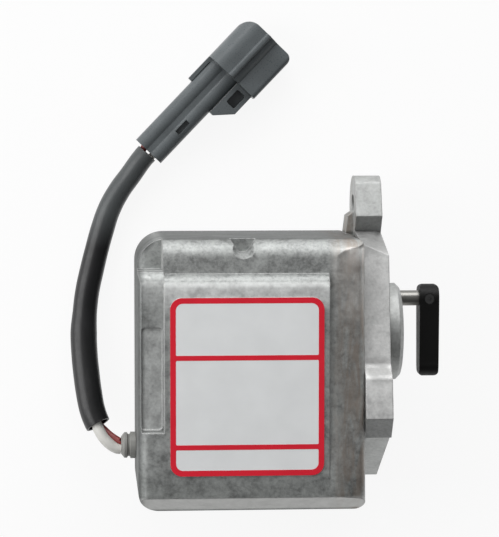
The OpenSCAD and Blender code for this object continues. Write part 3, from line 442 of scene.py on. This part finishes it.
def makeBanded(name, color, setup):
    material, tree, shader, place = startMaterial(name, color, setup["rough"], setup["metal"])
    wave = tree.nodes.new("ShaderNodeTexWave")
    wave.bands_direction = setup["axis"]
    wave.inputs["Scale"].default_value = wavePeriod / setup["pitch"]
    wave.inputs["Distortion"].default_value = setup["warp"]
    tree.links.new(place, wave.inputs["Vector"])
    low, high = setup["rampFrom"]
    darker = tuple(c * setup["darkest"] for c in color)
    tone = addRamp(tree, wave.outputs["Fac"], ((low, darker), (high, color)))
    tree.links.new(tone, shader.inputs["Base Color"])
    addBump(tree, shader, wave.outputs["Fac"], *setup["bump"])
    return material


# The sleeve is paler towards the connector
sleeveEnd = {"tone": (0.060, 0.066, 0.068), "from": (25 * mm, 36 * mm)}

finishes = {
    "cast_aluminium": makeCast("castAluminium", castFinish),
    "gasket": makeMoulded("gasketSheet", (0.16, 0.16, 0.16), rough=0.75, grainScale=1200, grain=0.3),
    "plated_steel": makeSteel("platedSteel", (0.62, 0.62, 0.60), rough=0.32),
    "shaft_steel": makeSteel("groundSteel", (0.28, 0.276, 0.262), rough=0.36, stretch=(6, 0.6, 0.6)),
    "core_steel": makeBanded("laminatedSteel", (0.30, 0.31, 0.32), laminations),
    "bearing_steel": makeSteel("bearingSteel", (0.68, 0.69, 0.70), rough=0.16, stretch=(5, 1, 1),
                               scratch=0.1),
    "spring_steel": makeSteel("springSteel", (0.35, 0.35, 0.36), rough=0.3),
    "black_steel": makeMoulded("blackOxide", (0.0035, 0.0035, 0.0033), rough=0.5, grainScale=1500,
                               grain=0.35, shade=0.7, edge=0.4 * mm, gloss=0.22),
    "seal_rubber": makeMoulded("sealRubber", (0.05, 0.05, 0.05), rough=0.6),
    "bobbin_plastic": makeMoulded("bobbinNylon", (0.75, 0.72, 0.62), rough=0.5),
    "copper_wire": makeBanded("copperWinding", (0.62, 0.30, 0.14), windings),
    "grommet_rubber": makeMoulded("grommetRubber", (0.29, 0.29, 0.275), rough=0.5, grainScale=1400,
                                  grain=0.3, shade=0.75),
    "white_insulation": makeMoulded("whiteInsulation", (0.78, 0.77, 0.73), rough=0.42, grainScale=900,
                                    grain=0.15, shade=0.86, edge=0),
    "red_insulation": makeMoulded("redInsulation", (0.30, 0.045, 0.04), rough=0.42, grainScale=900,
                                  grain=0.15, shade=0.7, edge=0),
    "sleeve_vinyl": makeMoulded("sleeveVinyl", (0.008, 0.008, 0.009), rough=0.36, grainScale=700,
                                grain=0.25, shade=0.75, edge=0, paleEnd=sleeveEnd),
    "connector_plastic": makeMoulded("connectorGrey", (0.105, 0.118, 0.124), rough=0.30, grainScale=2200),
    "terminal_brass": makeSteel("tinnedBrass", (0.72, 0.62, 0.40), rough=0.3),
    "plate_face": makeMoulded("plateFilm", (0.78, 0.795, 0.80), rough=0.34, grainScale=1600, grain=0.06,
                              shade=0.95, edge=0),
}
redPrint = makeMoulded("redPrint", (0.72, 0.010, 0.030), rough=0.34, grainScale=1600, grain=0.08,
                       shade=0.92, edge=0)
blackScrew = makeSteel("blackScrew", (0.13, 0.13, 0.13), rough=0.3)

for entry in frame["record"]["subparts"]:
    finish = blackScrew if entry["node"] == "arm_set_screw" else finishes[entry["material_slot"]]
    mesh = nodes[entry["node"]].data
    mesh.materials.clear()
    mesh.materials.append(finish)


# Lead, in millimetres: two wires from the grommet, in a sleeve along the floor, to the connector
lead = {
    "exit": (-81.4, -36.8, -13),
    "route": [
        (-82, -36.8, -13), (-84.8, -35.1, -13.5), (-87.2, -32.6, -14.6), (-89, -29.8, -15.7),
        (-90.4, -26, -16.9), (-91.4, -21, -18.5), (-92.2, -15, -20.4), (-92.8, -8.5, -22),
        (-93, -2, -23.2), (-92.6, 4.5, -24), (-91.8, 11, -24.1), (-90.4, 17.5, -24.1),
        (-88.8, 24, -24.1), (-87, 30.5, -24), (-84.8, 37, -23.6), (-81.6, 43, -23),
        (-78, 48, -22.2), (-73.9, 53.7, -21.1), (-72.3, 55.5, -21), (-69.9, 58, -21), (-66.2, 61.9, -21),
    ],
    "wireRadius": 1.1,
    "outside": 1.25,                 # half spread of the wires before the sleeve
    "inSleeve": 1.15,
    "atConnector": (1.9, 2.5, 2.5),
    "sleevePoints": (4, 18),         # first and last point inside the sleeve, counted from the exit
    "twists": ((1, 4, 80), (6, 12, 100)),   # from point, to point, degrees
    "whiteSwell": (1.45, 1.55, 1.6, 1.6, 1.55, 1.25),   # thick insulation from the grommet into the sleeve
    "tubeSteps": 6,
}
sleeve = {
    "radius": 3.8,
    "wall": 0.6,
    "swell": (
        1.05, 1.06, 1.08, 1.10, 1.11, 1.11, 1.12, 1.03, 1.02,
        1.02, 1.0, 1.0, 0.97, 0.94, 0.92, 0.91, 0.92,
    ),
    "start": (-88.55, -30.6, -15.4),
    "end": (-72.75, 54.95, -21.05),
    "smoothAngle": 50,
}


def heading(points, i):
    return (points[min(i + 1, len(points) - 1)] - points[max(i - 1, 0)]).normalized()


def leadPoints():
    return [Vector(p) * mm for p in [lead["exit"]] + lead["route"]]


def wireLine(sign):
    points = leadPoints()
    intoSleeve, outOfSleeve = lead["sleevePoints"]
    line = []
    for i, point in enumerate(points):
        side = heading(points, i).cross(Vector((0, 0, 1))).normalized()
        rise = side.cross(heading(points, i)).normalized()
        twists = (min(max((i - a) / (b - a), 0), 1) * angle for a, b, angle in lead["twists"])
        turn = -math.radians(sum(twists))
        spread = lead["outside"] if i <= intoSleeve else lead["inSleeve"]
        if i > outOfSleeve:
            spread = lead["atConnector"][i - outOfSleeve - 1]
        line.append(point + sign * spread * mm * (math.cos(turn) * side + math.sin(turn) * rise))
    return line


def makeTube(name, line, radius, swell=None, caps=True):
    curve = bpy.data.curves.new(name, "CURVE")
    curve.dimensions = "3D"
    curve.bevel_depth = radius * mm
    curve.bevel_resolution = curve.resolution_u = lead["tubeSteps"]
    curve.use_fill_caps = caps
    spline = curve.splines.new("BEZIER")
    spline.bezier_points.add(len(line) - 1)
    for i, (knot, point) in enumerate(zip(spline.bezier_points, line)):
        knot.co = point
        knot.radius = swell[i] if swell else 1.0
        knot.handle_left_type = knot.handle_right_type = "AUTO"
    tube = bpy.data.objects.new(name, curve)
    bpy.context.scene.collection.objects.link(tube)
    return tube


def dress(piece, material, slot, *replaced):
    piece.data.materials.clear()
    piece.data.materials.append(material)
    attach(piece, "base")
    if replaced:
        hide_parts(*replaced)


def makeWire(name, sign, slot, node, swell=()):
    line = wireLine(sign)
    wire = makeTube(name, line, lead["wireRadius"], [*swell, *[1.0] * (len(line) - len(swell))])
    dress(wire, finishes[slot], slot, node)
    return wire, line


def pickOnly(piece):
    bpy.ops.object.select_all(action="DESELECT")
    piece.select_set(True)
    bpy.context.view_layer.objects.active = piece


def makeSleeve():
    first, last = lead["sleevePoints"]
    line = [Vector(sleeve["start"]) * mm, *leadPoints()[first:last + 1], Vector(sleeve["end"]) * mm]
    tube = makeTube("cableSleeve", line, sleeve["radius"], sleeve["swell"], caps=False)
    pickOnly(tube)
    bpy.ops.object.convert(target="MESH")
    tube = bpy.context.object
    wall = tube.modifiers.new("wall", "SOLIDIFY")
    wall.thickness = sleeve["wall"] * mm
    wall.offset = -1
    bpy.ops.object.modifier_apply(modifier="wall")
    bpy.ops.object.shade_smooth_by_angle(angle=math.radians(sleeve["smoothAngle"]))
    dress(tube, finishes["sleeve_vinyl"], "sleeve_vinyl", "cable_sleeve")
    return tube


whiteWire, whiteLine = makeWire("leadWireWhite", -1, "white_insulation", "lead_wire_white",
                                lead["whiteSwell"])
redWire, redLine = makeWire("leadWireRed", 1, "red_insulation", "lead_wire_red")
cableSleeve = makeSleeve()


def lineLength(line):
    return sum((b - a).length for a, b in zip(line, line[1:]))


print("lead laid:", round(lineLength(whiteLine), 4), "m")


# Flat leaning shoulder, in millimetres, that fills the flange between the web and the lower lug's front
flangeShoulder = {
    "acrossX": (-8.22, -0.03),
    # Y of each cross-section from the lower lug to the upper one, with its lowest and highest Z
    "sections": {
        -24.2: (24.6, 25.82), -11.7: (12.0, 23.58), -8.8: (9.0, 19.53),
        12.0: (9.0, 15.86), 24.5: (-6.0, 13.65), 31.5: (-13.0, -11.3),
    },
    "rounds": {-11.7: 1.0, -8.8: 1.2, 24.5: 0.3},    # radius of the top edge at a cross-section
    "slant": {"section": 24.5, "reach": 1.0, "move": (0, 3.6, -0.64)},   # of the edge's end by the casing
    "finish": {
        "tones": (
            (0.37, (0.52, 0.522, 0.518)), (0.50, (0.65, 0.652, 0.645)), (0.63, (0.76, 0.762, 0.755)),
        ),
        "stainShare": 0.0,
        "flangeFrom": (1 * mm, 2 * mm),            # past the shoulder, so that it keeps its own tones
        "farWallFrom": (24.0 * mm, 27.0 * mm),     # Y where the painted shade on the web begins
        "farWallTo": (40 * mm, 41 * mm),
        # painted shade on the step up to the lower lug, dimming its highlight
        "shadeSpot": {"centre": (-4.0 * mm, -10.0 * mm, 21.5 * mm), "reach": (2.6 * mm, 5.6 * mm)},
        "tierEndHighlights": (),
        "wallShadeTone": (0.62, 0.62, 0.62),
    },
    "roundSteps": 5,
    "smoothAngle": 25,
    "snap": 0.05,                    # how near a corner has to lie to be picked
}


def pickPlace(piece, kind, test):
    bpy.ops.mesh.select_all(action="DESELECT")
    bpy.ops.mesh.select_mode(type=kind)
    cage = bmesh.from_edit_mesh(piece.data)
    for part in cage.edges if kind == "EDGE" else cage.verts:
        corners = part.verts if kind == "EDGE" else [part]
        if all(test(corner.co / mm) for corner in corners):
            part.select_set(True)
    bmesh.update_edit_mesh(piece.data)


def makeFlangeShoulder(setup):
    x0, x1 = setup["acrossX"]
    y0, *between, y1 = setup["sections"]
    snap = setup["snap"]
    z0 = min(low for low, high in setup["sections"].values())
    z1 = max(high for low, high in setup["sections"].values())
    bpy.ops.object.select_all(action="DESELECT")
    bpy.ops.mesh.primitive_cube_add(size=mm)
    shoulder = bpy.context.object
    shoulder.name = "flangeShoulder"
    bpy.ops.object.mode_set(mode="EDIT")
    bpy.ops.transform.resize(value=(x1 - x0, y1 - y0, z1 - z0))
    bpy.ops.transform.translate(value=[v * mm / 2 for v in (x0 + x1, y0 + y1, z0 + z1)])
    for y in between:
        bpy.ops.mesh.select_all(action="SELECT")
        bpy.ops.mesh.bisect(plane_co=(0, y * mm, 0), plane_no=(0, 1, 0))
    for y, heights in setup["sections"].items():
        for start, height in zip((z1, z0), reversed(heights)):
            pickPlace(shoulder, "VERT", lambda p: abs(p.y - y) < snap and abs(p.z - start) < snap)
            bpy.ops.transform.translate(value=(0, 0, (height - start) * mm))
    for y, radius in setup["rounds"].items():
        top = setup["sections"][y][1]
        pickPlace(shoulder, "EDGE", lambda p: abs(p.y - y) < snap and abs(p.z - top) < snap)
        bpy.ops.mesh.bevel(offset=radius * mm, segments=setup["roundSteps"], affect="EDGES")
    slant = setup["slant"]
    pickPlace(shoulder, "VERT",
              lambda p: p.x < x0 + snap and p.z > 0 and abs(p.y - slant["section"]) < slant["reach"])
    bpy.ops.transform.translate(value=[v * mm for v in slant["move"]])
    bpy.ops.mesh.select_all(action="SELECT")
    bpy.ops.mesh.normals_make_consistent(inside=False)
    bpy.ops.object.mode_set(mode="OBJECT")
    bpy.ops.object.shade_smooth_by_angle(angle=math.radians(setup["smoothAngle"]))
    dress(shoulder, makeCast("paleCast", {**castFinish, **setup["finish"]}), "cast_aluminium")


makeFlangeShoulder(flangeShoulder)
print("flange shoulder filled")


# Red border and bars, in millimetres, printed round three bare fields of the name plate
plateBorder = {
    "outer": (-67.25, -40.8, -21.05, 12.8),
    "outerRadii": (3.6, 3.6, 3.6, 3.6),          # lower left, lower right, upper right, upper left
    "fields": [
        {"area": (-65.55, -4.5, -22.75, 11.1), "radii": (0.35, 0.35, 2.1, 2.1)},
        {"area": (-65.55, -31.4, -22.75, -6.0), "radii": (0.35, 0.35, 0.35, 0.35)},
        {"area": (-65.55, -39.1, -22.75, -32.9), "radii": (2.1, 2.1, 0.35, 0.35)},
    ],
    "heights": (26.29, 26.34),
    "cutHeights": (26.0, 26.6),
    "roundSteps": 8,
}


def makeSlab(name, area, radii, heights, steps):
    x0, y0, x1, y1 = (v * mm for v in area)
    low, high = (v * mm for v in heights)
    bpy.ops.object.select_all(action="DESELECT")
    bpy.ops.mesh.primitive_plane_add(size=1)
    slab = bpy.context.object
    slab.name = name
    bpy.ops.object.mode_set(mode="EDIT")
    bpy.ops.transform.resize(value=(x1 - x0, y1 - y0, 1))
    bpy.ops.transform.translate(value=((x0 + x1) / 2, (y0 + y1) / 2, low))
    corners = ((x0, y0), (x1, y0), (x1, y1), (x0, y1))
    for (x, y), radius in zip(corners, radii):
        bpy.ops.mesh.select_all(action="DESELECT")
        cage = bmesh.from_edit_mesh(slab.data)
        nearest = min(cage.verts, key=lambda v: (v.co.x - x) ** 2 + (v.co.y - y) ** 2)
        nearest.select_set(True)
        cage.select_flush(True)
        bmesh.update_edit_mesh(slab.data)
        bpy.ops.mesh.bevel(offset=radius * mm, segments=steps, affect="VERTICES")
    bpy.ops.mesh.select_all(action="SELECT")
    bpy.ops.mesh.extrude_region_move(TRANSFORM_OT_translate={"value": (0, 0, high - low)})
    bpy.ops.mesh.select_all(action="SELECT")
    bpy.ops.mesh.normals_make_consistent(inside=False)
    bpy.ops.object.mode_set(mode="OBJECT")
    return slab


def makePlateBorder(setup):
    border = makeSlab("plateBorder", setup["outer"], setup["outerRadii"], setup["heights"],
                      setup["roundSteps"])
    for field in setup["fields"]:
        cutter = makeSlab("fieldCutter", field["area"], field["radii"], setup["cutHeights"],
                          setup["roundSteps"])
        pickOnly(border)
        cut = border.modifiers.new("field", "BOOLEAN")
        cut.operation = "DIFFERENCE"
        cut.object = cutter
        bpy.ops.object.modifier_apply(modifier="field")
        bpy.data.objects.remove(cutter)
    dress(border, redPrint, "plate_face")


makePlateBorder(plateBorder)
print("name plate printed")


# Floor, backdrop, world and lamps, in metres
studio = {
    "floorGap": 0.05 * mm,           # below the lowest face of the solids
    "floorSize": 6.0,
    "wallRadius": 2.9,               # low round backdrop
    "wallHeight": 0.55,
    "wallSteps": 96,
    "floorTone": (0.86, 0.86, 0.86),
    "whiteShare": 0.9,               # share of the floor's look that is plain white to the camera
    "skyMiddle": 0.30,               # light from straight above
    "skyLean": (-0.24, 0.20),        # change of it towards +X and +Y
    "skyLeast": 0.07,
}
lamps = {
    "farKey": {"place": (-0.05, 0.76, 0.34), "aim": (-0.03, 0.0, 0.0), "size": (1.0, 0.5), "power": 6.4},
    "leftFill": {"place": (-0.66, 0.10, 0.34), "aim": (-0.05, 0.0, 0.0), "size": (0.4, 0.7), "power": 2.6},
    "nearFill": {"place": (0.05, -0.70, 0.16), "aim": (-0.03, -0.02, 0.0), "size": (0.6, 0.12), "power": 0.2},
}


def makePale(setup):
    material = bpy.data.materials.new("paleFloor")
    material.use_nodes = True
    tree = material.node_tree
    tree.nodes.clear()
    output = tree.nodes.new("ShaderNodeOutputMaterial")
    matte = tree.nodes.new("ShaderNodeBsdfDiffuse")
    matte.inputs["Color"].default_value = (*setup["floorTone"], 1)
    white = tree.nodes.new("ShaderNodeEmission")
    # seen straight, mirrored or through something clear, it is nearly plain white
    rays = tree.nodes.new("ShaderNodeLightPath").outputs
    seen = addMath(tree, "ADD", rays["Is Camera Ray"], rays["Is Glossy Ray"])
    seen = addMath(tree, "ADD", seen, rays["Is Transmission Ray"], clamp=True)
    mix = tree.nodes.new("ShaderNodeMixShader")
    tree.links.new(addMath(tree, "MULTIPLY", seen, setup["whiteShare"]), mix.inputs[0])
    tree.links.new(matte.outputs[0], mix.inputs[1])
    tree.links.new(white.outputs[0], mix.inputs[2])
    tree.links.new(mix.outputs[0], output.inputs["Surface"])
    return material


def makeFloor(setup):
    floorZ = cadBounds[0][2] - setup["floorGap"]
    bpy.ops.object.select_all(action="DESELECT")
    bpy.ops.mesh.primitive_plane_add(size=setup["floorSize"], location=(0, 0, floorZ))
    floor = bpy.context.object
    floor.name = "paleFloor"
    bpy.ops.mesh.primitive_cylinder_add(vertices=setup["wallSteps"], radius=setup["wallRadius"],
                                        depth=setup["wallHeight"], end_fill_type="NOTHING",
                                        location=(0, 0, floorZ + setup["wallHeight"] / 2))
    wall = bpy.context.object
    wall.name = "paleWall"
    material = makePale(setup)
    floor.data.materials.append(material)
    wall.data.materials.append(material)


def makeWorld(setup):
    world = bpy.data.worlds.new("studioWorld")
    bpy.context.scene.world = world
    world.use_nodes = True
    tree = world.node_tree
    direction = tree.nodes.new("ShaderNodeTexCoord").outputs["Generated"]
    level = setup["skyMiddle"]
    for axis, lean in zip("XY", setup["skyLean"]):
        level = addMath(tree, "MULTIPLY_ADD", addAxis(tree, direction, axis), lean, level)
    level = addMath(tree, "MAXIMUM", level, setup["skyLeast"])
    tree.links.new(level, tree.nodes["Background"].inputs["Color"])


def makeLamp(name, setup):
    bpy.ops.object.light_add(type="AREA", location=setup["place"])
    lamp = bpy.context.object
    lamp.name = name
    lamp.data.shape = "RECTANGLE"
    lamp.data.size, lamp.data.size_y = setup["size"]
    lamp.data.energy = setup["power"]
    aim = Vector(setup["aim"]) - Vector(setup["place"])
    lamp.rotation_mode = "QUATERNION"
    lamp.rotation_quaternion = aim.to_track_quat("-Z", "Y")


makeFloor(studio)
makeWorld(studio)
for lampName, lampSetup in lamps.items():
    makeLamp(lampName, lampSetup)
bpy.context.scene.view_settings.view_transform = "Standard"
print("studio lit by", len(lamps), "lamps")
